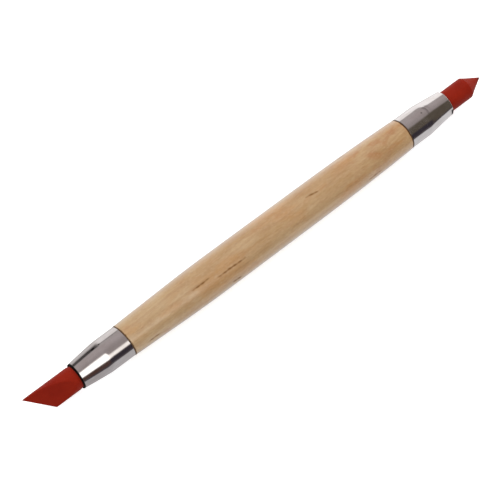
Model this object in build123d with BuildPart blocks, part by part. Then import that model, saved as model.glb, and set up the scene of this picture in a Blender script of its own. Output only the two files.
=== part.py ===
from build123d import *
import math
import os

# Double-ended clay shaper: a turned hardwood handle with a drawn metal ferrule
# on each end, one holding a slant-cut chisel tip and one a cone tip, both in
# silicone rubber.
#
# Frame: X is the tool's axis, the chisel tip is at -X and the cone tip at +X,
# +Z is up, and the origin is on the axis at the handle's mid-length.
# All dimensions in millimetres. Every profile is drawn in XZ as (x, radius).

os.makedirs("parts", exist_ok=True)

# --- Handle -----------------------------------------------------------------
handle_half = 54.35          # mid-length to the shoulder, where a ferrule butts
shoulder_dia = 10.62
shoulder_ease = 0.25         # small chamfer on each shoulder
tenon_len = 6.6              # reduced end of the handle inside a ferrule
tenon_chamfer = 0.6

# Stations (x, diameter): a short eased nose at each end, a straight flare at
# the chisel end, and a long shallow belly that is fullest toward the chisel
nose_chisel = (-52.1, 10.86)
flare_end = (-38.4, 11.66)
belly_chisel = (-17.4, 12.36)
belly_cone = (19.6, 12.22)
nose_cone = (52.3, 10.90)

# --- Ferrules ---------------------------------------------------------------
barrel_len = 7.9             # straight barrel, from the shoulder
taper_len = 9.7              # swaged taper, from the barrel to the mouth
barrel_radius = 10.55 / 2
mouth_radius = 8.4 / 2
ferrule_wall = 0.28
bend_fillet = 6.0            # between barrel and taper, inside and outside
mouth_fillet = 0.12          # rounded lip
open_end_fillet = 0.10       # light edge break at the handle end

# --- Silicone tips ----------------------------------------------------------
# Depths run from the mouth into the ferrule, reaches run outward from it
mouth_relief = 1.2           # rod stays clear of the wall for this depth
swell_len = 1.6              # rod swells to meet the wall over this length
shank_depth = 8.9            # inner end of the shank
shank_chamfer = 0.35         # at the inner end of the shank

cone_rod_radius = 7.05 / 2
cone_rod_len = 8.7           # straight rod outside the mouth
cone_len = 5.85              # the cone itself
cone_fillet = 0.35           # eased corner between rod and cone

chisel_rod_radius = 7.65 / 2
chisel_short_reach = 9.25    # short corner
chisel_long_reach = 16.55    # long point
chisel_half_angle = 26.5     # degrees, each flat from the chisel's middle plane
chisel_roll = 29.0           # degrees, the middle plane turned about the axis
wedge_reach = 45.0           # cutting wedge, from its edge to past the shank
wedge_half_width = 40        # cutting wedge, each way along its edge

# --- Adhesive ---------------------------------------------------------------
glue_line = 0.10             # film on the tenon, on the radius
film_stop = 0.8              # film ends this far short of the handle shoulder
film_bend_gap = 0.6          # outer face narrows from this far before the bend
adhesive_gap = 0.01          # clearance inside the bore and the shank's end

# --- Derived ----------------------------------------------------------------
bend_x = handle_half + barrel_len
mouth_x = bend_x + taper_len
tenon_end = handle_half + tenon_len
shank_end = mouth_x - shank_depth
bore_radius = barrel_radius - ferrule_wall
tenon_radius = bore_radius - glue_line
taper_slope = (barrel_radius - mouth_radius) / taper_len


def taper_bore(depth):
    """Inner radius of the ferrule's taper at a depth in from its mouth."""
    return mouth_radius - ferrule_wall + taper_slope * depth


shank_end_radius = taper_bore(shank_depth) - shank_chamfer


def circles_at(builder, x):
    """Circular edges centred at a station along the axis."""
    circles = builder.edges().filter_by(GeomType.CIRCLE)
    return circles.filter_by(lambda e: abs(e.arc_center.X - x) < 0.01)


def mirrored(part, label):
    """The same piece for the other end of the tool."""
    with BuildPart() as twin:
        add(part)
        mirror(about=Plane.YZ, mode=Mode.REPLACE)
    twin.part.label = label
    return twin.part


def handle_end(side):
    """Shoulder and tenon outline, outward to the axis; side is +1 or -1."""
    shoulder_radius = shoulder_dia / 2
    return [
        (side * (handle_half - shoulder_ease), shoulder_radius),
        (side * handle_half, shoulder_radius - shoulder_ease),
        (side * handle_half, tenon_radius),
        (side * (tenon_end - tenon_chamfer), tenon_radius),
        (side * tenon_end, tenon_radius - tenon_chamfer),
        (side * tenon_end, 0),
    ]


def make_handle():
    """Handle turned in one piece, with a tenon on each end."""
    nose_1, flare, belly_1, belly_2, nose_2 = [
        (x, diameter / 2)
        for x, diameter in (nose_chisel, flare_end, belly_chisel, belly_cone, nose_cone)
    ]
    # Direction of the straight belly line, toward +X
    belly_run = belly_2[0] - belly_1[0]
    belly_rise = belly_2[1] - belly_1[1]
    cone_side = handle_end(1)
    chisel_side = handle_end(-1)

    with BuildPart() as handle:
        with BuildSketch(Plane.XZ):
            with BuildLine():
                Line(chisel_side[0], nose_1)
                Line(nose_1, flare)
                TangentArc(belly_1, flare, tangent=(-belly_run, -belly_rise))
                Line(belly_1, belly_2)
                TangentArc(belly_2, nose_2, tangent=(belly_run, belly_rise))
                Polyline(nose_2, *cone_side, *reversed(chisel_side))
            make_face()
        revolve(axis=Axis.X)
    handle.part.label = "handle"
    return handle.part


def make_cone_end_ferrule():
    """Thin tube: straight barrel, soft bend, taper down to the mouth."""
    with BuildPart() as ferrule:
        with BuildSketch(Plane.XZ):
            with BuildLine():
                Polyline(
                    (handle_half, bore_radius),
                    (handle_half, barrel_radius),
                    (bend_x, barrel_radius),
                    (mouth_x, mouth_radius),
                    (mouth_x, mouth_radius - ferrule_wall),
                    (bend_x, bore_radius),
                    close=True,
                )
            make_face()
        revolve(axis=Axis.X)
        fillet(circles_at(ferrule, bend_x), radius=bend_fillet)
        fillet(circles_at(ferrule, mouth_x), radius=mouth_fillet)
        # Only the outer edge at the handle end
        open_edge = circles_at(ferrule, handle_half).sort_by(lambda e: e.radius)[-1]
        fillet(open_edge, radius=open_end_fillet)
    ferrule.part.label = "cone_end_ferrule"
    return ferrule.part


def shank_outline(side, rod_radius):
    """Shank outline from the axis to where the rod starts; side is +1 or -1.

    The shank swells behind the mouth to fill the ferrule's taper, so that it
    is wider than the mouth and can't be pulled out.
    """
    chamfer_depth = shank_depth - shank_chamfer
    wall_meet = mouth_relief + swell_len
    depths_and_radii = [
        (shank_depth, 0),
        (shank_depth, shank_end_radius),
        (chamfer_depth, taper_bore(chamfer_depth)),
        (wall_meet, taper_bore(wall_meet)),
        (mouth_relief, rod_radius),
    ]
    return [(side * (mouth_x - depth), radius) for depth, radius in depths_and_radii]


def make_cone_tip():
    rod_end = mouth_x + cone_rod_len
    with BuildPart() as tip:
        with BuildSketch(Plane.XZ):
            with BuildLine():
                Polyline(
                    *shank_outline(1, cone_rod_radius),
                    (rod_end, cone_rod_radius),
                    (rod_end + cone_len, 0),
                    close=True,
                )
            make_face()
        revolve(axis=Axis.X)
        fillet(circles_at(tip, rod_end), radius=cone_fillet)
    tip.part.label = "cone_tip"
    return tip.part


def make_chisel_tip():
    """Rod cut to a wedge whose edge runs from short corner to long point."""
    # Across the chisel in its middle plane, and square to that plane
    roll = math.radians(chisel_roll)
    across = Vector(0, math.cos(roll), math.sin(roll))
    middle_normal = Vector(0, -math.sin(roll), math.cos(roll))

    long_x = -mouth_x - chisel_long_reach
    short_x = -mouth_x - chisel_short_reach
    short_corner = Vector(short_x, 0, 0) - across * chisel_rod_radius
    long_point = Vector(long_x, 0, 0) + across * chisel_rod_radius
    edge_dir = (long_point - short_corner).normalized()
    # Section plane square to the edge, its x pointing back into the rod
    wedge_plane = Plane(
        origin=(short_corner + long_point) / 2,
        x_dir=edge_dir.cross(middle_normal),
        z_dir=edge_dir,
    )
    wedge_half_height = wedge_reach * math.tan(math.radians(chisel_half_angle))

    with BuildPart() as tip:
        with BuildSketch(Plane.XZ):
            with BuildLine():
                Polyline(
                    *shank_outline(-1, chisel_rod_radius),
                    (long_x, chisel_rod_radius),
                    (long_x, 0),
                    close=True,
                )
            make_face()
        revolve(axis=Axis.X)
        # Both flats at once: keep what lies inside the wedge
        with BuildSketch(wedge_plane):
            with BuildLine():
                Polyline(
                    (0, 0),
                    (wedge_reach, wedge_half_height),
                    (wedge_reach, -wedge_half_height),
                    close=True,
                )
            make_face()
        extrude(amount=wedge_half_width, both=True, mode=Mode.INTERSECT)
    tip.part.label = "chisel_tip"
    return tip.part


def make_cone_end_adhesive():
    """Plug between shank and tenon, with a thin film back around the tenon."""
    film_radius = bore_radius - adhesive_gap
    with BuildPart() as adhesive:
        with BuildSketch(Plane.XZ):
            with BuildLine():
                Polyline(
                    (handle_half + film_stop, tenon_radius),
                    (handle_half + film_stop, film_radius),
                    (bend_x - film_bend_gap, film_radius),
                    (shank_end, shank_end_radius - adhesive_gap),
                    (shank_end, 0),
                    (tenon_end, 0),
                    (tenon_end, tenon_radius - tenon_chamfer),
                    (tenon_end - tenon_chamfer, tenon_radius),
                    close=True,
                )
            make_face()
        revolve(axis=Axis.X)
    adhesive.part.label = "cone_end_adhesive"
    return adhesive.part


cone_end_ferrule = make_cone_end_ferrule()
cone_end_adhesive = make_cone_end_adhesive()
pieces = [
    make_handle(),
    mirrored(cone_end_ferrule, "chisel_end_ferrule"),
    cone_end_ferrule,
    make_chisel_tip(),
    make_cone_tip(),
    mirrored(cone_end_adhesive, "chisel_end_adhesive"),
    cone_end_adhesive,
]

# One STEP file per piece
for piece in pieces:
    export_step(piece, f"parts/{piece.label}.step")
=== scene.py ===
import math

import bpy
import bmesh
import numpy as np
from mathutils import Matrix, Vector, noise


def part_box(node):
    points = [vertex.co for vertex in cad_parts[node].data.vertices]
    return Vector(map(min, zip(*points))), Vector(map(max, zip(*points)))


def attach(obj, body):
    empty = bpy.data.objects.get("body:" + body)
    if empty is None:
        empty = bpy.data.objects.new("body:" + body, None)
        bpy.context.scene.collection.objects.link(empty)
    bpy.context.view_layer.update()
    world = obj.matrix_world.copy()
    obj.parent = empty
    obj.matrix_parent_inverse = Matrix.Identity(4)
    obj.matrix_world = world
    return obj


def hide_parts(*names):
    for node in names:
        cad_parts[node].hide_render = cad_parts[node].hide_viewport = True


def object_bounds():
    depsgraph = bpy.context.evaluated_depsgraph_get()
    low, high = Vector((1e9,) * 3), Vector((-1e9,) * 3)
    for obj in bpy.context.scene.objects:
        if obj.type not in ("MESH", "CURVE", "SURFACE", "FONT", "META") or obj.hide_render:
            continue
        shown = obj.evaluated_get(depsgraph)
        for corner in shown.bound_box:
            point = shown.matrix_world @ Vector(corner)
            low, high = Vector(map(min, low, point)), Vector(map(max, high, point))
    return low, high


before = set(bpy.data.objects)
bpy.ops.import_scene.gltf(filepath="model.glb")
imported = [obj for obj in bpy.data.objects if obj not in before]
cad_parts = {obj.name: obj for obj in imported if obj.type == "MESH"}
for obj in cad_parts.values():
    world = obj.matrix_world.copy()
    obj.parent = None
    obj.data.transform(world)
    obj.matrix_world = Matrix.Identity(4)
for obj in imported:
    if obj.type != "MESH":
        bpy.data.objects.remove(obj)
cad_lo, cad_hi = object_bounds()
scene = bpy.context.scene
MM = 0.001

# ---------------------------------------------------------------------------
# Stations along the axis, in millimetres, read from the frame
# ---------------------------------------------------------------------------
cone_ferrule_lo, cone_ferrule_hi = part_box("cone_end_ferrule")
handle_lo, handle_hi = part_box("handle")
cone_lo, cone_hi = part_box("cone_tip")
chisel_lo, chisel_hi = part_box("chisel_tip")
JOINT = cone_ferrule_lo.x / MM            # handle shoulder, each end
MOUTH = cone_ferrule_hi.x / MM            # ferrule mouth, each end
R_BARREL = cone_ferrule_hi.z / MM
TENON_END = handle_hi.x / MM
BARREL_LEN = 7.9
BEND = JOINT + BARREL_LEN
R_MOUTH = 4.20
WALL = 0.28
R_BORE = R_BARREL - WALL
R_TENON = R_BORE - 0.10
R_CHISEL = 3.825
R_CONE = 3.525
SLOPE = (R_BARREL - R_MOUTH) / (MOUTH - BEND)
ROLL = math.radians(29.0)
TAU = 2 * math.pi


# ---------------------------------------------------------------------------
# Mesh helpers
# ---------------------------------------------------------------------------
def new_piece(name, verts, faces, smooth=True):
    me = bpy.data.meshes.new(name)
    me.from_pydata([tuple(v) for v in verts], [], faces)
    bm = bmesh.new()
    bm.from_mesh(me)
    bmesh.ops.recalc_face_normals(bm, faces=bm.faces)
    bm.to_mesh(me)
    bm.free()
    me.update()
    ob = bpy.data.objects.new(name, me)
    scene.collection.objects.link(ob)
    if smooth:
        me.polygons.foreach_set("use_smooth", [True] * len(me.polygons))
    return ob


def dense(points, step, keep=()):
    """Points of a polyline in (x, r), resampled so that no gap is over step; the corners stay."""
    out = [points[0]]
    for (x0, r0), (x1, r1) in zip(points[:-1], points[1:]):
        n = max(1, int(math.ceil(math.hypot(x1 - x0, r1 - r0) / step)))
        for k in range(1, n + 1):
            t = k / n
            out.append((x0 + (x1 - x0) * t, r0 + (r1 - r0) * t))
    return out


def round_corners(points, radii, n=5):
    """The polyline with each named corner replaced by an arc of that radius: radii is {index: radius}."""
    out = []
    for i, p in enumerate(points):
        if i not in radii or i in (0, len(points) - 1):
            out.append(p)
            continue
        a, b, c = Vector(points[i - 1]), Vector(p), Vector(points[i + 1])
        u, v = (a - b).normalized(), (c - b).normalized()
        ang = math.acos(max(-1, min(1, u.dot(v))))
        t = radii[i] / math.tan(ang / 2)
        t = min(t, (a - b).length * 0.49, (c - b).length * 0.49)
        r = t * math.tan(ang / 2)
        centre = b + (u + v).normalized() * (r / math.sin(ang / 2))
        s, e = b + u * t, b + v * t
        a0 = math.atan2(s.y - centre.y, s.x - centre.x)
        a1 = math.atan2(e.y - centre.y, e.x - centre.x)
        d = (a1 - a0 + math.pi) % TAU - math.pi
        m = max(n, int(abs(d) / 0.06))
        for k in range(m + 1):
            th = a0 + d * k / m
            out.append((centre.x + r * math.cos(th), centre.y + r * math.sin(th)))
    return out


def lathe(name, outline, segs, shape=None, closed=False):
    """Turns the outline of (x, r) points about X. Points with r 0 become poles. shape(x, r, angle) gives the
    radius arrays after small deviations. closed joins the last ring to the first, for a tube."""
    outline = np.array(outline, float)
    ang = np.arange(segs) * TAU / segs
    verts, rings = [], []
    for x, r in outline:
        if r < 1e-6:
            rings.append([len(verts)])
            verts.append((x * MM, 0.0, 0.0))
            continue
        rr = np.full(segs, r) if shape is None else shape(x, r, ang)
        base = len(verts)
        for a, q in zip(ang, rr):
            verts.append((x * MM, q * math.cos(a) * MM, q * math.sin(a) * MM))
        rings.append(list(range(base, base + segs)))
    faces = []
    pairs = list(zip(rings[:-1], rings[1:]))
    if closed:
        pairs.append((rings[-1], rings[0]))
    for p, q in pairs:
        if len(p) == 1 and len(q) == 1:
            continue
        for k in range(segs):
            m = (k + 1) % segs
            if len(p) == 1:
                faces.append((p[0], q[m], q[k]))
            elif len(q) == 1:
                faces.append((p[k], p[m], q[0]))
            else:
                faces.append((p[k], p[m], q[m], q[k]))
    return new_piece(name, verts, faces)


def wrap(a):
    return (a + math.pi) % TAU - math.pi


def spots(table, x, ang, radius):
    """Sum of soft spots on a turned surface: each is (station, degrees, half length, half width, amount), in mm."""
    out = np.zeros_like(ang)
    for cx, deg, half_x, half_w, amount in table:
        u = (x - cx) / half_x
        if abs(u) < 3.0:
            v = wrap(ang - math.radians(deg)) * radius / half_w
            out += amount * math.exp(-u * u) * np.exp(-v * v)
    return out


def settle(ob):
    """Neither end of the handle is cut quite square, so the joint runs a little askew, and the chisel-end ferrule is a
    shade shorter. The station before that is kept on the mesh, so that the painted shade and glue along the joint
    follow it."""
    me = ob.data
    co = np.empty(len(me.vertices) * 3, np.float32)
    me.vertices.foreach_get("co", co)
    co = co.reshape(-1, 3).astype(float)
    x = co[:, 0] / MM
    ang = np.arctan2(co[:, 2], co[:, 1])
    at = me.attributes.new("station", "FLOAT", "POINT")
    at.data.foreach_set("value", x.astype(np.float32))
    side, top = np.cos(ang - math.radians(112.4)), np.cos(ang - math.radians(22.4))
    if "ferrule" in ob.name:
        x = x + 0.40 * np.exp(-(((x + MOUTH) / 2.2) ** 2))
    x = x + (0.30 - 0.30 * top) * np.exp(-(((x + JOINT) / 2.6) ** 2))
    x = x + (0.06 + 0.32 * side - 0.06 * top) * np.exp(-(((x - JOINT) / 2.6) ** 2))
    co[:, 0] = x * MM
    me.vertices.foreach_set("co", co.astype(np.float32).ravel())
    me.update()


# ---------------------------------------------------------------------------
# Handle: the turned barrel, its eased shoulders and both tenons, with open
# grain checks cut into the surface
# ---------------------------------------------------------------------------
# station along the axis, angle from +Y towards +Z in degrees, half length, half width, depth, slant
CHECKS = [
    (-16.2, 126.6, 6.0, 0.31, 0.060, 0.002),
    (-26.9, 113.3, 3.6, 0.28, 0.040, -0.003),
    (-16.0, 171.5, 2.1, 0.40, 0.060, 0.004),
    (17.3, 96.0, 2.5, 0.30, 0.036, 0.028),
    (-46.8, 165.2, 3.0, 0.24, 0.040, 0.0),
    (38.2, 170.4, 3.2, 0.24, 0.040, 0.0),
    (28.0, 250.0, 3.2, 0.20, 0.060, 0.01),
    (-32.0, 205.0, 2.4, 0.20, 0.050, -0.015),
    (6.0, 300.0, 3.6, 0.20, 0.060, 0.012),
    (-8.0, 20.0, 2.6, 0.18, 0.050, 0.0),
    (33.0, 45.0, 1.8, 0.16, 0.045, 0.02),
]


# soft patches of figure in the grain, the same columns as for spots: above 0 orange-brown, below 0 pale; the pale ones
# between -44 and -10 on the side towards the front, with the two by the checks, are painted highlight of the lacquer
FIGURE_AND_HIGHLIGHT = [
    (35.6, 76.0, 0.9, 0.9, 0.70), (37.4, 70.0, 0.8, 0.8, 0.75), (42.4, 78.0, 1.0, 0.9, 0.95),
    (44.4, 83.0, 1.3, 1.1, 1.00), (40.2, 111.0, 1.1, 1.1, 0.90), (41.6, 119.0, 1.5, 1.1, 1.05),
    (39.0, 101.0, 1.5, 0.8, 0.55), (45.8, 102.0, 1.1, 1.0, 0.75), (50.1, 84.0, 1.6, 1.1, 0.80),
    (47.6, 92.0, 0.9, 0.7, 0.50), (34.0, 92.0, 1.2, 0.6, 0.40), (38.6, 86.0, 1.3, 0.6, -0.45),
    (46.4, 116.0, 2.2, 0.40, -0.55), (49.0, 112.0, 2.2, 0.40, -0.55), (51.9, 106.0, 2.0, 0.40, -0.50),
    (45.0, 126.0, 2.6, 0.40, 0.40), (49.5, 125.0, 2.8, 0.40, 0.35), (33.0, 116.0, 2.8, 1.6, -0.35),
    (38.0, 155.0, 1.0, 0.8, -0.55), (-30.8, 73.0, 1.5, 0.9, 0.50), (-19.5, 80.0, 2.6, 1.0, 0.45),
    (-2.6, 80.0, 3.0, 1.0, 0.60), (4.7, 88.0, 1.6, 0.9, 0.50), (6.0, 126.0, 2.2, 0.7, 0.50),
    (14.6, 122.0, 1.3, 0.8, -0.60), (17.8, 110.0, 1.9, 0.6, 0.40), (25.0, 108.0, 2.4, 1.2, -0.35),
    (-30.2, 121.0, 0.9, 0.40, -0.55), (-21.7, 120.0, 0.7, 0.45, -0.55), (-48.4, 112.0, 1.2, 0.45, 0.55),
    (-52.1, 82.0, 1.4, 0.8, 0.40), (-10.0, 100.0, 3.0, 1.3, -0.30), (-38.0, 104.0, 3.2, 1.2, -0.30),
    (-32.0, 112.0, 4.5, 2.6, -0.45), (-30.0, 140.0, 4.0, 1.6, -0.35), (-44.0, 122.0, 4.0, 1.4, -0.35),
]
_rng = np.random.default_rng(11)
for _ in range(44):
    FIGURE_AND_HIGHLIGHT.append((
        _rng.uniform(-52, 52), _rng.uniform(172, 418), _rng.uniform(1.0, 3.0), _rng.uniform(0.5, 1.4),
        _rng.choice([-0.5, 0.5, 0.8]) * _rng.uniform(0.7, 1.1),
    ))


def handle_radius(x):
    """Radius of the barrel at a station, the same curve as the CAD profile."""
    e0, shoulder = (-52.1, 5.43), 5.31
    f0, f1 = (-38.4, 5.83), (-17.4, 6.18)
    g0, g1 = (19.6, 6.11), (52.3, 5.45)
    end = JOINT - 0.25
    run_slope = (g0[1] - f1[1]) / (g0[0] - f1[0])
    x = max(-end, min(end, x))
    if x < e0[0]:
        return shoulder + (e0[1] - shoulder) * (x + end) / (end + e0[0])
    if x < f0[0]:
        return e0[1] + (f0[1] - e0[1]) * (x - e0[0]) / (f0[0] - e0[0])
    if x < f1[0]:
        d = f1[0] - x
        n = f1[0] - f0[0]
        k = (f1[1] - run_slope * n - f0[1]) / n**2
        return f1[1] - run_slope * d - k * d * d
    if x < g0[0]:
        return f1[1] + run_slope * (x - f1[0])
    if x < g1[0]:
        d = x - g0[0]
        n = g1[0] - g0[0]
        k = (g0[1] + run_slope * n - g1[1]) / n**2
        return g0[1] + run_slope * d - k * d * d
    return g1[1] + (shoulder - g1[1]) * (x - g1[0]) / (end - g1[0])


def check_field(x, ang):
    """How deep inside an open check each point of a ring is: (depth in mm, strength 0 to 1)."""
    depth = np.zeros_like(ang)
    amount = np.zeros_like(ang)
    r = handle_radius(x)
    for cx, deg, half, width, deep, slant in CHECKS:
        u = (x - cx) / half
        if abs(u) >= 1.0:
            continue
        a0 = math.radians(deg)
        wander = 0.045 * math.sin(0.9 * x + deg) + 0.03 * math.sin(3.1 * x + 2 * deg)
        across = (ang - a0 + math.pi) % TAU - math.pi
        v = (across * r - slant * (x - cx) * 6 - wander) / width
        taper = (1 - u * u) ** 0.7 * (0.75 + 0.25 * math.sin(3.3 * x + deg))
        g = np.exp(-(v * v)) * taper
        depth += deep * g
        amount = np.maximum(amount, g)
    return depth, amount


def build_handle():
    segs = 384
    xs = [JOINT, JOINT - 0.06, JOINT - 0.13, JOINT - 0.19, JOINT - 0.25, JOINT - 0.34, JOINT - 0.5]
    left = [-x for x in xs]
    mid = list(np.linspace(-(JOINT - 0.8), JOINT - 0.8, 208))
    rows = left + mid + xs[::-1]
    outline = [(-TENON_END, 0), (-TENON_END, R_TENON - 1.2), (-TENON_END, R_TENON - 0.6), (-TENON_END + 0.6, R_TENON)]
    outline += [(-TENON_END + 3.6, R_TENON), (-JOINT - 0.05, R_TENON), (-JOINT, R_TENON + 0.03)]
    body = []
    for x in rows:
        d = JOINT - abs(x)
        r = handle_radius(x)
        if d < 0.25:
            q = 1 - d / 0.25
            r -= 0.25 * (1 - math.sqrt(max(0, 1 - q * q)))
        body.append((x, r))
    outline += body
    outline += [(JOINT, R_TENON + 0.03), (JOINT + 0.05, R_TENON), (TENON_END - 3.6, R_TENON)]
    outline += [(TENON_END - 0.6, R_TENON), (TENON_END, R_TENON - 0.6), (TENON_END, R_TENON - 1.2), (TENON_END, 0)]
    marks, figure_and_highlight = [], []

    def shape(x, r, ang):
        q = np.full(len(ang), r)
        figure_and_highlight.extend(spots(FIGURE_AND_HIGHLIGHT, x, ang, r).tolist())
        if abs(x) < JOINT - 0.02 and r > R_TENON + 0.05:
            ease = min(1.0, (JOINT - abs(x)) / 3.0)
            depth, amount = check_field(x, ang)
            # not quite round, with the faint waves that sanding leaves
            q = q - 0.022 * ease * (1 + np.sin(2 * ang + 0.8 + 0.012 * x)) / 2
            q = q - 0.010 * ease * (1 + math.sin(0.55 * x + 1.3 * math.sin(0.13 * x))) / 2
            fine = np.array([noise.noise(Vector((x * 0.10, 9 * math.cos(a), 9 * math.sin(a)))) for a in ang])
            q = q - 0.006 * ease * (1 + fine)
            q = q - depth
            marks.extend(amount.tolist())
        else:
            marks.extend([0.0] * len(ang))
        return q

    ob = lathe("handle_wood", outline, segs, shape)
    values = [0.0] + marks + [0.0]
    at = ob.data.attributes.new("check", "FLOAT", "POINT")
    at.data.foreach_set("value", np.array(values, np.float32))
    at = ob.data.attributes.new("figure_and_highlight", "FLOAT", "POINT")
    at.data.foreach_set("value", np.array([0.0] + figure_and_highlight + [0.0], np.float32))
    settle(ob)
    return ob


# ---------------------------------------------------------------------------
# Ferrules: a thin shell with its inner wall, a rolled lip and a soft shoulder
# ---------------------------------------------------------------------------
# near-black patches on the bright metal, painted where it shows dark reflections, the same columns as for spots
PAINTED_DARK_REFLECTIONS = {
    -1: [(63.70, 69.0, 0.62, 0.40, 1.05), (61.45, 69.5, 0.36, 0.30, 0.85), (66.5, 250.0, 0.5, 0.4, 0.5)],
    1: [(61.7, 92.0, 0.42, 0.40, 0.60), (58.4, 300.0, 0.5, 0.4, 0.5)],
}


def soft_profile(x, bend):
    """Outer radius of barrel and taper for a bend at that station."""
    w = 0.45
    slope = (R_BARREL - R_MOUTH) / (MOUTH - bend)
    return R_BARREL - slope * w * np.logaddexp(0.0, (x - bend) / w)


def build_ferrule(name, side, seed):
    segs = 256
    painted_dark_reflection = []
    corner = [
        (JOINT, R_BORE), (JOINT, R_BARREL), (BEND, R_BARREL), (MOUTH, R_MOUTH),
        (MOUTH, R_MOUTH - WALL), (BEND, R_BORE), (JOINT, R_BORE),
    ]
    pts = round_corners(corner, {1: 0.10, 2: 18.0, 3: 0.15, 4: 0.10, 5: 18.0}, n=12)
    pts = dense(pts, 0.22)[:-1]

    def shape(x, r, ang):
        outer = r > (R_BARREL if x < BEND else R_BARREL - SLOPE * (x - BEND)) - WALL * 0.55
        q = np.full(len(ang), r)
        ends = min(1.0, (x - JOINT) / 1.2, (MOUTH - x) / 1.0)
        ends = max(0.0, ends)
        # swaging leaves faint waves round the shoulder and along the taper
        wave = 0.008 * math.sin(1.5 * (x - BEND) + seed) * math.exp(-(((x - BEND) / 3.2) ** 2))
        soft = np.array(
            [noise.noise(Vector((x * 0.16 + seed, 1.1 * math.cos(a) + seed, 1.1 * math.sin(a)))) for a in ang]
        )
        dent = np.array(
            [noise.noise(Vector((x * 0.42 + seed, 1.9 * math.cos(a) - seed, 1.9 * math.sin(a)))) for a in ang]
        )
        near_bend = math.exp(-(((x - BEND) / 2.2) ** 2))
        painted_dark_reflection.extend((spots(PAINTED_DARK_REFLECTIONS[side], x, ang, r) * (1.0 if outer else 0.0)).tolist())
        if not outer:
            return q
        # the bend wanders along the tube as it goes round
        if side < 0:
            bend = BEND - 0.75 * np.exp(-((wrap(ang - math.radians(120)) / 0.50) ** 2))
        else:
            bend = BEND + 0.85 * np.exp(-((wrap(ang - math.radians(142)) / 0.60) ** 2))
            bend = bend + 1.70 * np.exp(-((wrap(ang - math.radians(92)) / 0.50) ** 2))
        bend = bend + 0.12 * np.sin(2 * ang + seed)
        q = q + ends * (soft_profile(x, bend) - soft_profile(x, np.full(len(ang), BEND)))
        if side > 0:
            # a crease where the swaging die stopped
            q = q - 0.016 * ends * np.exp(-(((x - bend - 0.55) / 0.34) ** 2)) * np.exp(
                -((wrap(ang - math.radians(98)) / 0.50) ** 2)
            )
        return q + ends * (wave - 0.012 * (0.6 + soft) - 0.020 * near_bend * (0.5 + dent))

    ob = lathe(name, pts, segs, shape, closed=True)
    at = ob.data.attributes.new("painted_dark_reflection", "FLOAT", "POINT")
    at.data.foreach_set("value", np.array(painted_dark_reflection, np.float32))
    if side < 0:
        ob.data.transform(Matrix.Scale(-1, 4, (1, 0, 0)))
        ob.data.flip_normals()
    settle(ob)
    return ob


# ---------------------------------------------------------------------------
# Silicone tips
# ---------------------------------------------------------------------------
def bore_radius(depth):
    return R_MOUTH - WALL + SLOPE * depth


def shank(rod):
    """Depth in from the mouth and radius: the rubber is nipped a little where the mouth grips it."""
    return [
        (8.9, 0.0), (8.9, bore_radius(8.9) - 0.40), (8.5, bore_radius(8.5) - 0.05), (2.8, bore_radius(2.8) - 0.02),
        (1.2, rod - 0.06), (0.10, rod - 0.20), (-0.55, rod - 0.012),
    ]


def build_cone_tip():
    segs = 160
    shoulder, apex = MOUTH + 8.7, cone_hi.x / MM
    pts = [(MOUTH - d, r) for d, r in shank(R_CONE)]
    pts += [(shoulder, R_CONE), (apex - 0.02, 0.16), (apex, 0.0)]
    pts = round_corners(pts, {1: 0.2, 3: 2.0, 4: 2.0, 5: 0.5, 6: 0.8, 7: 0.40, 8: 0.12})
    pts = dense(pts, 0.20)
    # leave one pole at each end
    pts = [pts[0]] + [p for p in pts[1:-1] if p[1] > 0.01] + [pts[-1]]

    def shape(x, r, ang):
        q = np.full(len(ang), r)
        if x > MOUTH + 0.5:
            n = np.array([noise.noise(Vector((x * 0.35, 1.3 * math.cos(a), 1.3 * math.sin(a) + 7))) for a in ang])
            q = q * (1 - 0.0032 * (1 + n))
            # the cone is a little hollow in its flank, as the mould leaves it
            if x > shoulder:
                t = (x - shoulder) / (apex - shoulder)
                q = q * (1 - 0.035 * math.sin(math.pi * t))
            # faint parting line
            for a0 in (0.35, 0.35 + math.pi):
                d = (ang - a0 + math.pi) % TAU - math.pi
                q = q + 0.016 * np.exp(-((d * r / 0.10) ** 2))
        return q

    return lathe("cone_tip_rubber", pts, segs, shape)


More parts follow.
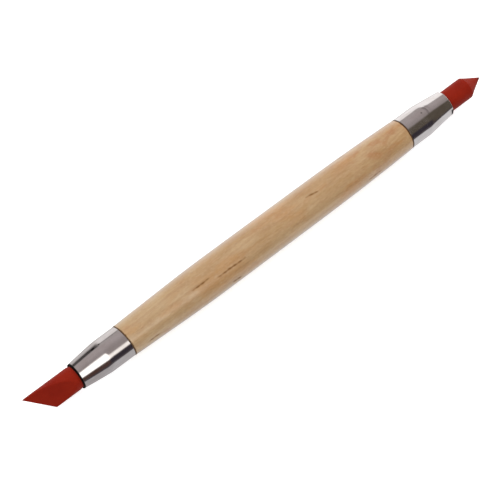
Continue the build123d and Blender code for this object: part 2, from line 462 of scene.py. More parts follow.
def build_chisel_tip():
    """The rod runs out of the mouth and is cut by two flats. Sections swing from square to the axis at the mouth
    to parallel with the slanted edge at the tip, so the mesh follows the edge."""
    segs = 144
    long_x = chisel_lo.x / MM
    short_x = -MOUTH - 9.25
    across = np.array([0.0, math.cos(ROLL), math.sin(ROLL)])
    normal = np.array([0.0, -math.sin(ROLL), math.cos(ROLL)])
    along = np.array([1.0, 0.0, 0.0])
    slant = (long_x - short_x) / (2 * R_CHISEL)          # x per unit across, on the edge
    g = np.array([1.0, -slant]) / math.hypot(1.0, slant)  # in (x, across), from the edge inward
    edge_mid = (long_x + short_x) / 2
    tan_half = math.tan(math.radians(26.5))

    def smax(a, b, k):
        h = np.clip(0.5 + 0.5 * (a - b) / k, 0, 1)
        return b + (a - b) * h + k * h * (1 - h)

    def field(x, w, n):
        """Below 0 inside the tip."""
        rod = np.hypot(w, n) - (R_CHISEL - 0.010)
        dist = (x - edge_mid) * g[0] + w * g[1]
        dish = 0.10 * np.exp(-(((dist - 5.0) / 3.2) ** 2))
        flat = (np.abs(n) - dist * tan_half) * math.cos(math.atan(tan_half)) + dish
        top = (n - dist * tan_half) * math.cos(math.atan(tan_half)) + dish
        low = (-n - dist * tan_half) * math.cos(math.atan(tan_half)) + dish
        return smax(smax(top, low, 0.05), rod, 0.16)

    verts, rings = [], []
    ang = np.arange(segs) * TAU / segs
    # shank and the plain rod, square to the axis
    pts = [(-MOUTH + d, r) for d, r in shank(R_CHISEL)]
    pts += [(-MOUTH - 1.1, R_CHISEL - 0.010)]
    pts = round_corners(pts, {1: 0.2, 3: 2.0, 4: 2.0, 5: 0.5, 6: 0.8})
    pts = dense(pts, 0.25)
    pts = [pts[0]] + [p for p in pts[1:] if p[1] > 0.01]
    for x, r in pts:
        if r < 1e-6:
            rings.append([len(verts)])
            verts.append(along * x)
            continue
        base = len(verts)
        for a in ang:
            verts.append(along * x + across * (r * math.cos(a)) + normal * (r * math.sin(a)))
        rings.append(list(range(base, base + segs)))
    # swinging sections
    rows = 110
    # the two flats meet in a small round, so the last section stops just inside the edge
    x_start, x_end = -MOUTH - 1.1, edge_mid + 0.056 / g[0]
    for j in range(1, rows + 1):
        t = j / rows
        s = 1 - (1 - t) ** 1.25
        swing = slant * (s * s * (3 - 2 * s)) ** 0.9
        cx = x_start + (x_end - x_start) * s
        u = np.array([swing, 1.0])
        u = u / math.hypot(*u)
        dist_c = (cx - edge_mid) * g[0]
        thick = min(R_CHISEL, max(0.03, dist_c * tan_half))
        wide = R_CHISEL * math.hypot(1.0, swing)
        base = len(verts)
        # direction of each spoke, spread to suit the section's aspect
        dw = wide * np.cos(ang)
        dn = thick * np.sin(ang)
        ln = np.hypot(dw, dn)
        dw, dn = dw / ln, dn / ln
        lo = np.zeros(segs)
        hi = np.full(segs, wide * 1.3)
        for _ in range(46):
            mid = (lo + hi) / 2
            inside = field(cx + dw * mid * u[0], dw * mid * u[1], dn * mid) < 0
            lo = np.where(inside, mid, lo)
            hi = np.where(inside, hi, mid)
        for a in range(segs):
            verts.append(
                along * (cx + dw[a] * lo[a] * u[0]) + across * (dw[a] * lo[a] * u[1]) + normal * (dn[a] * lo[a])
            )
        rings.append(list(range(base, base + segs)))
    faces = []
    for p, q in zip(rings[:-1], rings[1:]):
        for k in range(segs):
            m = (k + 1) % segs
            if len(p) == 1:
                faces.append((p[0], q[m], q[k]))
            else:
                faces.append((p[k], p[m], q[m], q[k]))
    # close the edge: quads straight across the thin last section
    last = rings[-1]
    half = segs // 2
    for k in range(half):
        a, b = last[k], last[(k + 1) % segs]
        c, d = last[(segs - k - 1) % segs], last[(segs - k) % segs]
        loop = []
        for v in (a, b, c, d):
            if v not in loop:
                loop.append(v)
        if len(loop) >= 3:
            faces.append(tuple(loop))
    return new_piece("chisel_tip_rubber", [v * MM for v in verts], faces)


handle = build_handle()
ferrule_a = build_ferrule("chisel_end_ferrule_shell", -1, 3.1)
ferrule_b = build_ferrule("cone_end_ferrule_shell", 1, 8.7)
cone = build_cone_tip()
chisel = build_chisel_tip()

for piece, node, slot in (
    (handle, "handle", "lacquered_wood"),
    (ferrule_a, "chisel_end_ferrule", "bright_ferrule"),
    (ferrule_b, "cone_end_ferrule", "bright_ferrule"),
    (cone, "cone_tip", "red_silicone"),
    (chisel, "chisel_tip", "red_silicone"),
):
    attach(piece, "root")
    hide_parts(node)


# ---------------------------------------------------------------------------
# Materials
# ---------------------------------------------------------------------------
class Nodes:
    """Small helper to write node trees as expressions."""

    def __init__(self, tree):
        self.t = tree
        tree.nodes.clear()

    def add(self, kind, **kw):
        n = self.t.nodes.new(kind)
        for k, v in kw.items():
            setattr(n, k, v)
        return n

    def link(self, a, b):
        self.t.links.new(a, b)

    def put(self, value, socket):
        if hasattr(value, "is_linked") or isinstance(value, bpy.types.NodeSocket):
            self.link(value, socket)
        else:
            socket.default_value = value

    def math(self, op, a, b=None, c=None, clamp=False):
        n = self.add("ShaderNodeMath", operation=op, use_clamp=clamp)
        self.put(a, n.inputs[0])
        if b is not None:
            self.put(b, n.inputs[1])
        if c is not None:
            self.put(c, n.inputs[2])
        return n.outputs[0]

    def vmath(self, op, a, b=None):
        n = self.add("ShaderNodeVectorMath", operation=op)
        self.put(a, n.inputs[0])
        if b is not None:
            self.put(b, n.inputs[1])
        return n.outputs[0]

    def noise(self, vec, scale=1.0, detail=2.0, rough=0.5, distortion=0.0, colour=False):
        n = self.add("ShaderNodeTexNoise")
        self.put(vec, n.inputs["Vector"])
        n.inputs["Scale"].default_value = scale
        n.inputs["Detail"].default_value = detail
        n.inputs["Roughness"].default_value = rough
        n.inputs["Distortion"].default_value = distortion
        return n.outputs["Color" if colour else "Fac"]

    def ramp(self, fac, stops, mode="LINEAR"):
        n = self.add("ShaderNodeValToRGB")
        n.color_ramp.interpolation = mode
        e = n.color_ramp.elements
        while len(e) > 1:
            e.remove(e[-1])
        e[0].position = stops[0][0]
        e[0].color = stops[0][1]
        for pos, col in stops[1:]:
            k = e.new(pos)
            k.color = col
        self.put(fac, n.inputs["Fac"])
        return n.outputs["Color"]

    def span(self, value, lo, hi, out_lo=0.0, out_hi=1.0, smooth=True):
        n = self.add("ShaderNodeMapRange", interpolation_type="SMOOTHSTEP" if smooth else "LINEAR")
        n.clamp = True
        self.put(value, n.inputs["Value"])
        for k, v in (("From Min", lo), ("From Max", hi), ("To Min", out_lo), ("To Max", out_hi)):
            self.put(v, n.inputs[k])
        return n.outputs["Result"]

    def mix(self, fac, a, b, blend="MIX"):
        n = self.add("ShaderNodeMix", data_type="RGBA", blend_type=blend, clamp_factor=True)
        self.put(fac, n.inputs[0])
        self.put(a, n.inputs[6])
        self.put(b, n.inputs[7])
        return n.outputs[2]


def rgb(r, g, b):
    return (r, g, b, 1.0)


def material(name):
    m = bpy.data.materials.new(name)
    m.use_nodes = True
    n = Nodes(m.node_tree)
    out = n.add("ShaderNodeOutputMaterial")
    bsdf = n.add("ShaderNodeBsdfPrincipled")
    n.link(bsdf.outputs[0], out.inputs["Surface"])
    coord = n.add("ShaderNodeTexCoord").outputs["Object"]
    p = n.vmath("MULTIPLY", coord, (1000.0, 1000.0, 1000.0))   # millimetres
    return m, n, bsdf, p


def wood_material():
    m, n, bsdf, p = material("lacquered_light_hardwood")
    sep = n.add("ShaderNodeSeparateXYZ")
    n.link(p, sep.inputs[0])
    x, y, z = sep.outputs
    # slow drift of the grain, so that no line runs dead straight
    drift = n.noise(n.vmath("MULTIPLY", p, (0.022, 0.10, 0.10)), 1.0, 2.0, 0.5, colour=True)
    drift = n.vmath("MULTIPLY", n.vmath("SUBTRACT", drift, (0.5, 0.5, 0.5)), (0.0, 5.0, 5.0))
    q = n.vmath("ADD", p, drift)
    sq = n.add("ShaderNodeSeparateXYZ")
    n.link(q, sq.inputs[0])
    # growth rings about a pith that lies well outside the stick and is not parallel with it
    py = n.math("SUBTRACT", sq.outputs[1], n.math("MULTIPLY_ADD", sq.outputs[0], 0.030, -19.0))
    pz = n.math("SUBTRACT", sq.outputs[2], n.math("MULTIPLY_ADD", sq.outputs[0], -0.036, -12.0))
    dist = n.math("SQRT", n.math("ADD", n.math("MULTIPLY", py, py), n.math("MULTIPLY", pz, pz)))
    # a swelling in the rings near the cone end, where they run out in nested ovals
    swell = n.math("MULTIPLY", n.math("POWER", n.math("SUBTRACT", x, 37.0), 2.0), -0.0085)
    swell = n.math("ADD", swell, n.math("MULTIPLY", n.math("POWER", n.math("SUBTRACT", z, 5.2), 2.0), -0.075))
    swell = n.math("ADD", swell, n.math("MULTIPLY", n.math("POWER", n.math("SUBTRACT", y, 1.5), 2.0), -0.035))
    swell = n.math("MULTIPLY", n.math("EXPONENT", swell), 5.2)
    dist = n.math("ADD", dist, swell)
    ring = n.math("FRACT", n.math("MULTIPLY", dist, 0.42))
    late = n.ramp(ring, [(0.0, rgb(0, 0, 0)), (0.62, rgb(0.25, 0.25, 0.25)), (0.88, rgb(1, 1, 1)), (0.94, rgb(0.5, 0.5, 0.5)), (1.0, rgb(0, 0, 0))], "EASE")
    # fine fibres and pores, long along X
    fibre = n.noise(n.vmath("MULTIPLY", q, (0.09, 5.2, 5.2)), 1.0, 3.0, 0.6)
    hair = n.noise(n.vmath("MULTIPLY", q, (0.22, 13.0, 13.0)), 1.0, 2.0, 0.55)
    pore = n.noise(n.vmath("MULTIPLY", q, (0.55, 6.4, 6.4)), 1.0, 1.0, 0.5)
    pore = n.span(pore, 0.64, 0.74)
    fleck = n.noise(n.vmath("ADD", n.vmath("MULTIPLY", q, (0.95, 3.0, 3.0)), (7.0, 3.0, 1.0)), 1.0, 3.0, 0.65)
    # broad colour changes
    patch = n.noise(n.vmath("MULTIPLY", p, (0.045, 0.11, 0.11)), 1.0, 3.0, 0.55)
    blush = n.noise(n.vmath("ADD", n.vmath("MULTIPLY", p, (0.06, 0.16, 0.16)), (31.0, 7.0, 3.0)), 1.0, 3.0, 0.6)
    honey, pale, warm = rgb(0.420, 0.243, 0.096), rgb(0.482, 0.312, 0.152), rgb(0.470, 0.238, 0.080)
    col = n.mix(n.span(patch, 0.38, 0.62), honey, pale)
    col = n.mix(n.math("MULTIPLY", n.span(blush, 0.47, 0.66), 0.80), col, warm)
    streak = n.noise(n.vmath("ADD", n.vmath("MULTIPLY", q, (0.05, 1.5, 1.5)), (3.0, 11.0, 5.0)), 1.0, 3.0, 0.55)
    col = n.mix(n.span(streak, 0.50, 0.70, 0.0, 0.30), col, rgb(0.335, 0.172, 0.066))
    col = n.mix(n.span(streak, 0.47, 0.30, 0.0, 0.26), col, rgb(0.560, 0.372, 0.200))
    # curly, mottled figure towards the cone end
    curl_p = n.vmath("ADD", n.vmath("MULTIPLY", q, (0.30, 0.30, 0.30)), n.vmath("MULTIPLY", drift, (0.3, 0.3, 0.3)))
    curl = n.noise(curl_p, 1.0, 3.0, 0.55, distortion=0.6)
    curl = n.span(curl, 0.47, 0.68)
    reach = n.math("MULTIPLY", n.span(x, 22.0, 38.0), n.span(n.math("ADD", z, n.math("MULTIPLY", y, 0.5)), -4.0, 2.5))
    col = n.mix(n.math("MULTIPLY", n.math("MULTIPLY", curl, reach), 0.38), col, rgb(0.370, 0.150, 0.048))
    # soft patches at their own places, their edges broken up
    ragged = n.noise(n.vmath("MULTIPLY", p, (0.55, 0.75, 0.75)), 1.0, 3.0, 0.6)
    ragged = n.math("MULTIPLY", n.math("SUBTRACT", ragged, 0.5), 0.9)
    figure_and_highlight = n.add("ShaderNodeAttribute", attribute_name="figure_and_highlight").outputs["Fac"]
    dark_fig = n.span(n.math("MULTIPLY", figure_and_highlight, n.math("ADD", ragged, 1.0)), 0.06, 0.85, 0.0, 0.68)
    # pale figure, which between -44 and -10 on the side towards the front is painted highlight
    pale_fig_and_highlight = n.span(n.math("MULTIPLY", figure_and_highlight, n.math("ADD", ragged, 1.0)), -0.08, -0.75, 0.0, 0.52)
    col = n.mix(dark_fig, col, rgb(0.400, 0.165, 0.050))
    col = n.mix(pale_fig_and_highlight, col, rgb(0.600, 0.425, 0.255))
    col = n.mix(n.math("MULTIPLY", late, n.span(x, 15.0, 40.0, 0.20, 0.22)), col, rgb(0.330, 0.150, 0.052))
    # cloudy mottling, a few millimetres across
    mottle = n.noise(n.vmath("ADD", n.vmath("MULTIPLY", p, (0.17, 0.44, 0.44)), (5.0, 2.0, 9.0)), 1.0, 3.0, 0.55)
    col = n.mix(n.span(mottle, 0.50, 0.70, 0.0, 0.26), col, rgb(0.360, 0.168, 0.060))
    col = n.mix(n.span(mottle, 0.48, 0.30, 0.0, 0.22), col, rgb(0.560, 0.392, 0.220))
    # paler towards the chisel end, deeper towards the cone end
    tint = n.mix(n.span(x, -50.0, 0.0, smooth=False), rgb(1.02, 1.08, 1.12), rgb(0.98, 0.99, 0.96))
    tint = n.mix(n.span(x, 0.0, 48.0, smooth=False), tint, rgb(0.95, 0.90, 0.78))
    col = n.mix(1.0, col, tint, "MULTIPLY")
    col = n.mix(n.span(fibre, 0.30, 0.75, 0.0, 0.22), col, rgb(0.345, 0.176, 0.074))
    col = n.mix(n.span(hair, 0.35, 0.80, 0.0, 0.22), col, rgb(0.560, 0.360, 0.195))
    col = n.mix(n.span(fleck, 0.50, 0.74, 0.0, 0.30), col, rgb(0.320, 0.160, 0.064))
    col = n.mix(n.span(fleck, 0.48, 0.28, 0.0, 0.26), col, rgb(0.620, 0.440, 0.270))
    col = n.mix(n.math("MULTIPLY", pore, 0.32), col, rgb(0.200, 0.092, 0.036))
    mark = n.add("ShaderNodeAttribute", attribute_name="check").outputs["Fac"]
    stain = n.span(n.math("MULTIPLY", mark, n.math("ADD", n.math("MULTIPLY", fibre, 0.9), 0.55)), 0.02, 0.75)
    col = n.mix(n.math("MULTIPLY", stain, 0.84), col, rgb(0.180, 0.082, 0.022))
    # painted shade of the gap at each shoulder, with glue in it, darkens the groove there
    station = n.add("ShaderNodeAttribute", attribute_name="station").outputs["Fac"]
    rough_edge = n.math("MULTIPLY", n.math("SUBTRACT", n.noise(n.vmath("MULTIPLY", p, (0.5, 0.8, 0.8)), 1.0, 3.0, 0.6), 0.5), 0.5)
    station = n.math("ADD", station, rough_edge)
    glue_and_shade_far = n.span(station, JOINT - 0.56, JOINT - 0.32)
    glue_and_shade_near = n.span(station, -JOINT + 0.50, -JOINT + 0.28)
    col = n.mix(n.math("MULTIPLY", glue_and_shade_far, 0.97), col, rgb(0.072, 0.033, 0.014))
    col = n.mix(n.math("MULTIPLY", glue_and_shade_near, 0.94), col, rgb(0.112, 0.062, 0.030))
    glue_and_shade = n.math("MAXIMUM", glue_and_shade_far, glue_and_shade_near)
    bare = n.math("SUBTRACT", 1.0, n.math("MULTIPLY", glue_and_shade, 0.92))
    n.link(col, bsdf.inputs["Base Color"])
    rough = n.math("ADD", n.span(fibre, 0.2, 0.8, 0.34, 0.46), n.math("MULTIPLY", stain, 0.25))
    n.link(rough, bsdf.inputs["Roughness"])
    bsdf.inputs["IOR"].default_value = 1.47
    bare = n.math("MULTIPLY", bare, n.math("SUBTRACT", 1.0, n.math("MULTIPLY", stain, 0.7)))
    n.link(bare, bsdf.inputs["Coat Weight"])
    n.link(n.math("MULTIPLY", bare, 0.5), bsdf.inputs["Specular IOR Level"])
    n.put(n.span(hair, 0.2, 0.8, 0.12, 0.20), bsdf.inputs["Coat Roughness"])
    bsdf.inputs["Coat IOR"].default_value = 1.56
    n.link(n.math("MULTIPLY", bare, 0.62), bsdf.inputs["Sheen Weight"])
    bsdf.inputs["Sheen Roughness"].default_value = 0.36
    bsdf.inputs["Sheen Tint"].default_value = rgb(0.82, 0.93, 1.0)
    height = n.math("ADD", n.math("MULTIPLY", fibre, 0.6), n.math("MULTIPLY", hair, 0.3))
    height = n.math("SUBTRACT", height, n.math("MULTIPLY", pore, 0.5))
    bump = n.add("ShaderNodeBump")
    bump.inputs["Strength"].default_value = 0.35
    bump.inputs["Distance"].default_value = 0.00004
    n.link(height, bump.inputs["Height"])
    n.link(bump.outputs[0], bsdf.inputs["Normal"])
    n.link(bump.outputs[0], bsdf.inputs["Coat Normal"])
    return m


def ferrule_material():
    m, n, bsdf, p = material("bright_plated_tube")
    sep = n.add("ShaderNodeSeparateXYZ")
    n.link(p, sep.inputs[0])
    x, y, z = sep.outputs
    cloud = n.noise(n.vmath("MULTIPLY", p, (0.22, 0.35, 0.35)), 1.0, 3.0, 0.55)
    draw = n.noise(n.vmath("MULTIPLY", p, (0.10, 9.0, 9.0)), 1.0, 2.0, 0.6)      # drawn lengthwise
    turn = n.noise(n.vmath("MULTIPLY", p, (14.0, 0.35, 0.35)), 1.0, 2.0, 0.6)   # polished round
    speck = n.span(n.noise(n.vmath("MULTIPLY", p, (3.4, 3.4, 3.4)), 1.0, 2.0, 0.6), 0.70, 0.78)
    col = n.mix(n.span(cloud, 0.3, 0.7), rgb(0.600, 0.570, 0.560), rgb(0.660, 0.640, 0.640))
    col = n.mix(n.math("MULTIPLY", speck, 0.25), col, rgb(0.36, 0.32, 0.30))
    # the inner wall and the very edges are duller
    rad = n.math("SQRT", n.math("ADD", n.math("MULTIPLY", y, y), n.math("MULTIPLY", z, z)))
    depth_in = n.math("SUBTRACT", n.math("ABSOLUTE", x), BEND)
    outer = n.math("SUBTRACT", R_BARREL, n.math("MULTIPLY", n.math("MAXIMUM", depth_in, 0.0), SLOPE))
    inner = n.span(n.math("SUBTRACT", outer, rad), 0.10, 0.22)
    col = n.mix(inner, col, rgb(0.20, 0.16, 0.12))
    # the ferrule's end against the wood is painted dark: painted shade of the gap at the joint, with glue
    station = n.add("ShaderNodeAttribute", attribute_name="station").outputs["Fac"]
    seam_glue_and_shade = n.span(n.math("ABSOLUTE", station), JOINT + 0.15, JOINT + 0.05)
    col = n.mix(n.math("MULTIPLY", seam_glue_and_shade, 0.92), col, rgb(0.120, 0.072, 0.042))
    # near-black patches painted where the metal shows dark reflections
    painted_dark_reflection = n.add("ShaderNodeAttribute", attribute_name="painted_dark_reflection").outputs["Fac"]
    painted_dark_reflection = n.span(n.math("MULTIPLY", painted_dark_reflection, n.math("ADD", n.math("MULTIPLY", cloud, 0.8), 0.6)), 0.10, 0.75)
    col = n.mix(n.math("MULTIPLY", painted_dark_reflection, 0.90), col, rgb(0.030, 0.024, 0.022))
    # the cut lip at the chisel end is painted dark: glue and rubber on it, and painted shade of the gap at the mouth;
    # the low side of the other lip is painted shade under the rim
    rise = n.math("ADD", n.math("MULTIPLY", y, 0.0155), n.math("MULTIPLY", z, 0.0064))
    lip_glue_and_shade = n.span(n.math("SUBTRACT", x, rise), -MOUTH + 0.90, -MOUTH + 0.74)
    low_lip_shade = n.math("MULTIPLY", n.span(x, MOUTH - 1.05, MOUTH - 0.70), n.span(n.math("ADD", y, n.math("MULTIPLY", z, 0.4)), -3.0, -3.5))
    lip_glue_and_shade = n.math("MAXIMUM", lip_glue_and_shade, low_lip_shade)
    col = n.mix(n.math("MULTIPLY", lip_glue_and_shade, 0.99), col, rgb(0.012, 0.008, 0.007))
    n.link(col, bsdf.inputs["Base Color"])
    bsdf.inputs["Metallic"].default_value = 1.0
    rough = n.math("ADD", n.span(cloud, 0.3, 0.7, 0.075, 0.125), n.span(turn, 0.45, 0.8, 0.0, 0.05))
    rough = n.math("ADD", rough, n.math("MULTIPLY", speck, 0.03))
    rough = n.math("ADD", rough, n.math("MULTIPLY", lip_glue_and_shade, 0.4))
    rough = n.math("ADD", rough, n.math("MULTIPLY", seam_glue_and_shade, 0.25))
    rough = n.math("ADD", rough, n.math("MULTIPLY", inner, 0.35))
    n.link(rough, bsdf.inputs["Roughness"])
    height = n.math("ADD", n.math("MULTIPLY", draw, 0.5), n.math("MULTIPLY", turn, 0.5))
    height = n.math("ADD", height, n.math("MULTIPLY", cloud, 1.2))
    bump = n.add("ShaderNodeBump")
    bump.inputs["Strength"].default_value = 0.25
    bump.inputs["Distance"].default_value = 0.000012
    n.link(height, bump.inputs["Height"])
    n.link(bump.outputs[0], bsdf.inputs["Normal"])
    return m


def silicone_material():
    m, n, bsdf, p = material("red_silicone_rubber")
    cloud = n.noise(n.vmath("MULTIPLY", p, (0.16, 0.22, 0.22)), 1.0, 3.0, 0.55)
    grit = n.noise(n.vmath("MULTIPLY", p, (5.5, 5.5, 5.5)), 1.0, 3.0, 0.6)
    fine = n.noise(n.vmath("MULTIPLY", p, (16.0, 16.0, 16.0)), 1.0, 2.0, 0.6)
    dust = n.span(n.noise(n.vmath("MULTIPLY", p, (2.2, 3.0, 3.0)), 1.0, 4.0, 0.7), 0.66, 0.80)
    col = n.mix(n.span(cloud, 0.3, 0.7), rgb(0.225, 0.0088, 0.0012), rgb(0.262, 0.0120, 0.0018))
    col = n.mix(n.span(grit, 0.35, 0.75, 0.0, 0.30), col, rgb(0.130, 0.0045, 0.0010))
    col = n.mix(n.math("MULTIPLY", dust, 0.07), col, rgb(0.40, 0.16, 0.12))
    # dark line of glue and shadow where the rod leaves the chisel-end mouth
    sep = n.add("ShaderNodeSeparateXYZ")
    n.link(p, sep.inputs[0])
    ring = n.span(sep.outputs[0], -MOUTH + 0.20, -MOUTH + 0.36)
    ring = n.math("MULTIPLY", ring, n.span(sep.outputs[0], 0.0, -10.0))
    # a fainter painted shadow where the cone rod leaves its mouth
    far_mouth_shadow = n.math("MULTIPLY", n.span(sep.outputs[0], MOUTH + 0.42, MOUTH + 0.10), n.span(sep.outputs[0], 0.0, 10.0))
    ring = n.math("MAXIMUM", ring, n.math("MULTIPLY", far_mouth_shadow, 0.6))
    col = n.mix(n.math("MULTIPLY", ring, 0.96), col, rgb(0.008, 0.003, 0.002))
    # handling has dulled the point of the cone
    worn = n.span(n.math("ADD", sep.outputs[0], n.math("MULTIPLY", cloud, 1.2)), MOUTH + 13.2, MOUTH + 14.7, 0.0, 0.55)
    col = n.mix(worn, col, rgb(0.060, 0.010, 0.006))
    n.link(col, bsdf.inputs["Base Color"])
    n.link(n.span(grit, 0.25, 0.8, 0.42, 0.58), bsdf.inputs["Roughness"])
    bsdf.inputs["IOR"].default_value = 1.41
    bsdf.inputs["Specular IOR Level"].default_value = 0.13
    bsdf.inputs["Subsurface Weight"].default_value = 0.04
    bsdf.inputs["Subsurface Radius"].default_value = (0.0012, 0.0003, 0.0002)
    bsdf.inputs["Subsurface Scale"].default_value = 1.0
    height = n.math("ADD", n.math("MULTIPLY", grit, 0.6), n.math("MULTIPLY", fine, 0.35))
    bump = n.add("ShaderNodeBump")
    bump.inputs["Strength"].default_value = 0.5
    bump.inputs["Distance"].default_value = 0.00003
    n.link(height, bump.inputs["Height"])
    n.link(bump.outputs[0], bsdf.inputs["Normal"])
    return m


def adhesive_material():
    m, n, bsdf, p = material("cured_amber_adhesive")
    cloud = n.noise(n.vmath("MULTIPLY", p, (0.5, 0.5, 0.5)), 1.0, 4.0, 0.6)
    bubble = n.span(n.noise(n.vmath("MULTIPLY", p, (2.5, 2.5, 2.5)), 1.0, 1.0, 0.5), 0.68, 0.74)
    col = n.mix(n.span(cloud, 0.3, 0.7), rgb(0.42, 0.27, 0.08), rgb(0.56, 0.40, 0.15))
    col = n.mix(n.math("MULTIPLY", bubble, 0.5), col, rgb(0.72, 0.60, 0.36))
    n.link(col, bsdf.inputs["Base Color"])
    n.link(n.span(cloud, 0.3, 0.7, 0.18, 0.34), bsdf.inputs["Roughness"])
    bump = n.add("ShaderNodeBump")
    bump.inputs["Strength"].default_value = 0.4
    bump.inputs["Distance"].default_value = 0.00005
    n.link(cloud, bump.inputs["Height"])
    n.link(bump.outputs[0], bsdf.inputs["Normal"])
    return m


wood, metal, rubber, glue = wood_material(), ferrule_material(), silicone_material(), adhesive_material()
for ob, mat in ((handle, wood), (ferrule_a, metal), (ferrule_b, metal), (cone, rubber), (chisel, rubber)):
    ob.data.materials.append(mat)
for node in ("chisel_end_adhesive", "cone_end_adhesive"):
    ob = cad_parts[node]
    if not ob.material_slots:
        ob.data.materials.append(glue)
    for s in ob.material_slots:
        s.material = glue


# ---------------------------------------------------------------------------
# Stage: pale floor, soft light, and a plain studio for the metal to reflect
# ---------------------------------------------------------------------------
def build_floor():
    z = cad_lo.z - 0.00002
    n, size = 24, 3.0
    verts, faces = [], []
    for j in range(n + 1):
        for i in range(n + 1):
            verts.append(((i / n - 0.5) * 2 * size, (j / n - 0.5) * 2 * size, z))
    for j in range(n):
        for i in range(n):
            a = j * (n + 1) + i
            faces.append((a, a + 1, a + n + 2, a + n + 1))
    ob = new_piece("studio_floor", verts, faces, smooth=False)
    m, nn, bsdf, p = material("pale_floor")
    tone = nn.noise(nn.vmath("MULTIPLY", p, (0.004, 0.004, 0.004)), 1.0, 2.0, 0.5)
    nn.put(nn.mix(tone, rgb(0.90, 0.90, 0.895), rgb(0.92, 0.92, 0.92)), bsdf.inputs["Base Color"])
    bsdf.inputs["Roughness"].default_value = 0.9
    bsdf.inputs["Specular IOR Level"].default_value = 0.1
    # the table is bright to the eye, and dimmer in the bright metal: less so behind, and towards the cone end
    path = nn.add("ShaderNodeLightPath")
    bsdf.inputs["Emission Color"].default_value = rgb(1.0, 0.998, 0.995)
    nn.link(nn.math("MULTIPLY", path.outputs["Is Camera Ray"], 0.60), bsdf.inputs["Emission Strength"])
    ray = nn.add("ShaderNodeSeparateXYZ")
    nn.link(nn.vmath("MULTIPLY", nn.add("ShaderNodeNewGeometry").outputs["Incoming"], (-1.0, -1.0, -1.0)), ray.inputs[0])
    rx, ry, rz = ray.outputs
    rx = nn.math("SUBTRACT", rx, 0.065)
    front = nn.mix(nn.span(rx, 0.05, 0.42), rgb(0.520, 0.500, 0.505), rgb(0.830, 0.820, 0.830))
    behind = nn.mix(nn.span(rx, -0.02, 0.32), rgb(0.690, 0.660, 0.650), rgb(1.300, 1.265, 1.255))
    behind = nn.mix(nn.span(rz, -0.22, -0.55, 0.0, 0.34), behind, rgb(0.30, 0.29, 0.29))
    tone = nn.mix(nn.span(ry, -0.05, 0.05), front, behind)
    # the dark edge of the room reaches just under the horizon
    low = nn.math("MULTIPLY", nn.span(nn.math("DIVIDE", rz, nn.math("MINIMUM", ry, -0.001)), 0.26, 0.17), nn.span(ry, 0.0, -0.05))
    tone = nn.mix(low, tone, rgb(0.085, 0.072, 0.078))
    dull = nn.add("ShaderNodeEmission")
    nn.link(tone, dull.inputs["Color"])
    pick = nn.add("ShaderNodeMixShader")
    nn.link(path.outputs["Is Glossy Ray"], pick.inputs[0])
    nn.link(bsdf.outputs[0], pick.inputs[1])
    nn.link(dull.outputs[0], pick.inputs[2])
    out = [k for k in m.node_tree.nodes if k.type == "OUTPUT_MATERIAL"][0]
    nn.link(pick.outputs[0], out.inputs["Surface"])
    ob.data.materials.append(m)
    return ob


floor = build_floor()


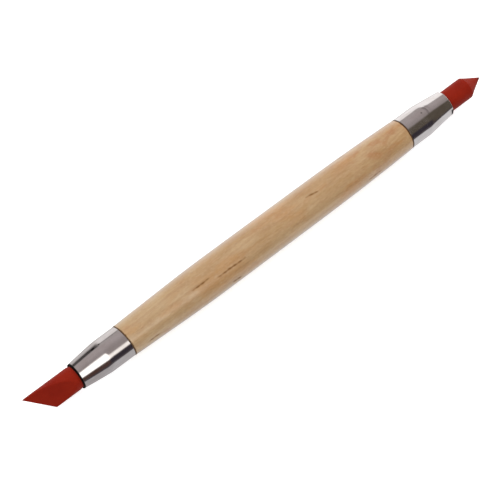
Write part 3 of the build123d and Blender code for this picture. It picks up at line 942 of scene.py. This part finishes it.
def build_world():
    w = bpy.data.worlds.new("studio")
    scene.world = w
    w.use_nodes = True
    n = Nodes(w.node_tree)
    out = n.add("ShaderNodeOutputWorld")
    d = n.add("ShaderNodeTexCoord").outputs["Generated"]
    sep = n.add("ShaderNodeSeparateXYZ")
    n.link(d, sep.inputs[0])
    x, y, z = sep.outputs
    # angle round the tool's axis: 0 is straight up, positive towards the front, in degrees
    rho = n.math("MULTIPLY", n.math("ARCTAN2", n.math("MULTIPLY", y, -1.0), z), 180 / math.pi)
    rho = n.math("SUBTRACT", rho, 4.85)
    x = n.math("SUBTRACT", x, 0.065)

    def band(a, b, soft, v=rho):
        return n.math("MULTIPLY", n.span(v, a - soft, a + soft), n.span(v, b - soft, b + soft, 1.0, 0.0))

    # near and far: where along the tool's length a reflection points
    def near(v, soft=0.05):
        return n.span(x, v + soft, v - soft)

    def far(v, soft=0.05):
        return n.span(x, v - soft, v + soft)

    col = n.mix(n.span(rho, -30.0, 4.0), rgb(0.500, 0.440, 0.435), rgb(0.400, 0.350, 0.345))
    col = n.mix(n.span(rho, -40.0, -70.0, smooth=False), col, rgb(0.52, 0.48, 0.47))
    col = n.mix(n.math("MULTIPLY", n.span(rho, -68.0, -76.0), n.span(x, 0.02, 0.24)), col, rgb(1.20, 1.16, 1.14))
    # dark frame under the bright wall
    frame_line = n.math("MULTIPLY", band(-69.0, -64.0, 2.0), n.math("MULTIPLY", far(0.10, 0.03), near(0.27, 0.04)))
    col = n.mix(n.math("MULTIPLY", frame_line, 0.55), col, rgb(0.10, 0.09, 0.09))
    # dim edge of the room behind, seen only by what faces the chisel end
    dim = n.math("MULTIPLY", band(-84.0, -57.0, 6.0), near(0.07, 0.05))
    dim = n.math("MULTIPLY", dim, n.span(x, -0.13, -0.02, 0.74, 1.0))
    dim_tone = n.mix(n.span(x, -0.03, 0.04), rgb(0.085, 0.075, 0.073), rgb(0.016, 0.014, 0.014))
    col = n.mix(dim, col, dim_tone)
    # big window behind the cone end
    window = n.math("MULTIPLY", n.span(rho, -56.0, -67.0), far(0.43, 0.07))
    col = n.mix(window, col, rgb(1.36, 1.32, 1.30))
    # narrow dark pillar, which shows where the taper begins at the cone end
    pillar = n.math("MULTIPLY", band(-64.0, 14.0, 5.0), n.math("MULTIPLY", far(0.400, 0.018), near(0.470, 0.018)))
    col = n.mix(n.math("MULTIPLY", pillar, 0.60), col, rgb(0.12, 0.10, 0.10))
    # dark room in front of the cone end
    gloom = n.math("MULTIPLY", band(12.0, 112.0, 9.0), far(0.25, 0.05))
    col = n.mix(gloom, col, rgb(0.122, 0.101, 0.078))
    # dark edge of the room along the front, browner at the chisel end
    horizon = n.math("MULTIPLY", band(58.0, 112.0, 5.0), near(0.46, 0.05))
    brown = n.mix(near(0.04, 0.07), rgb(0.046, 0.038, 0.048), rgb(0.100, 0.056, 0.046))
    col = n.mix(horizon, col, brown)
    # soft box over the front, wider towards the chisel end
    low_edge = n.span(x, -0.02, 0.13, 12.0, 32.0)
    inner = n.math("SUBTRACT", rho, low_edge)
    box = n.math("MULTIPLY", n.span(inner, -7.0, 7.0), n.span(rho, 50.0, 58.0, 1.0, 0.0))
    box = n.math("MULTIPLY", box, near(0.22, 0.05))
    box = n.math("MULTIPLY", box, n.span(x, -0.45, -0.30))
    col = n.mix(box, col, n.mix(n.span(x, 0.02, 0.14), rgb(2.10, 2.06, 1.98), rgb(1.52, 1.47, 1.41)))
    # the room beyond the chisel end is dark, and beyond the cone end there is a second window
    dusk = n.math("MULTIPLY", n.span(x, -0.30, -0.45), n.span(z, -0.2, 0.0))
    col = n.mix(n.math("MULTIPLY", dusk, 0.8), col, rgb(0.10, 0.09, 0.085))
    col = n.mix(n.span(x, 0.72, 0.88), col, rgb(1.60, 1.55, 1.52))
    bright = n.add("ShaderNodeBackground")
    n.link(col, bright.inputs["Color"])
    bright.inputs["Strength"].default_value = 1.0
    plain = n.add("ShaderNodeBackground")
    # everything else is lit by a pale room that is dimmer in front
    pale = n.mix(n.span(y, -0.9, 0.5, smooth=False), rgb(0.745, 0.760, 0.785), rgb(0.92, 0.92, 0.92))
    path = n.add("ShaderNodeLightPath")
    n.link(n.mix(path.outputs["Is Camera Ray"], pale, rgb(1.05, 1.05, 1.05)), plain.inputs["Color"])
    plain.inputs["Strength"].default_value = 1.0
    pick = n.add("ShaderNodeMixShader")
    n.link(path.outputs["Is Glossy Ray"], pick.inputs[0])
    n.link(plain.outputs[0], pick.inputs[1])
    n.link(bright.outputs[0], pick.inputs[2])
    n.link(pick.outputs[0], out.inputs["Surface"])
    return w


build_world()


def area(name, where, size, power, colour=(1, 1, 1), aim=(0, 0, 0), glossy=False):
    d = bpy.data.lights.new(name, "AREA")
    d.shape = "RECTANGLE"
    d.size, d.size_y = size
    d.energy = power
    d.color = colour
    o = bpy.data.objects.new(name, d)
    scene.collection.objects.link(o)
    o.location = where
    o.rotation_mode = "QUATERNION"
    o.rotation_quaternion = (Vector(where) - Vector(aim)).to_track_quat("Z", "Y")
    o.visible_glossy = glossy
    return o


area("overhead_soft", (0.22, 0.36, 0.99), (1.1, 0.9), 4.9, (1.0, 0.985, 0.96))
area("side_fill", (0.9, -0.25, 0.55), (0.7, 0.6), 0.5, (1.0, 0.99, 0.98))

# ---------------------------------------------------------------------------
# Camera
# ---------------------------------------------------------------------------
AZ, EL, TURN = math.radians(-40.16), math.radians(61.61), math.radians(0.0)
DISTANCE, LENS = 0.631, 153.0
back = Vector((math.sin(AZ) * math.cos(EL), -math.cos(AZ) * math.cos(EL), math.sin(EL)))
right = Vector((math.cos(AZ), math.sin(AZ), 0))
up = back.cross(right)
cam_x = right * math.cos(TURN) + up * math.sin(TURN)
cam_y = up * math.cos(TURN) - right * math.sin(TURN)
middle = (cad_lo + cad_hi) / 2
target = middle - cam_x * 0.0040 - cam_y * 0.0037
cam_data = bpy.data.cameras.new("camera")
cam_data.lens = LENS
cam_data.sensor_width = 36.0
cam_data.clip_start, cam_data.clip_end = 0.01, 50.0
camera = bpy.data.objects.new("camera", cam_data)
scene.collection.objects.link(camera)
rot = Matrix((cam_x, cam_y, back)).transposed().to_4x4()
camera.matrix_world = Matrix.Translation(target + back * DISTANCE) @ rot
scene.camera = camera

scene.view_settings.view_transform = "Standard"
scene.view_settings.look = "None"
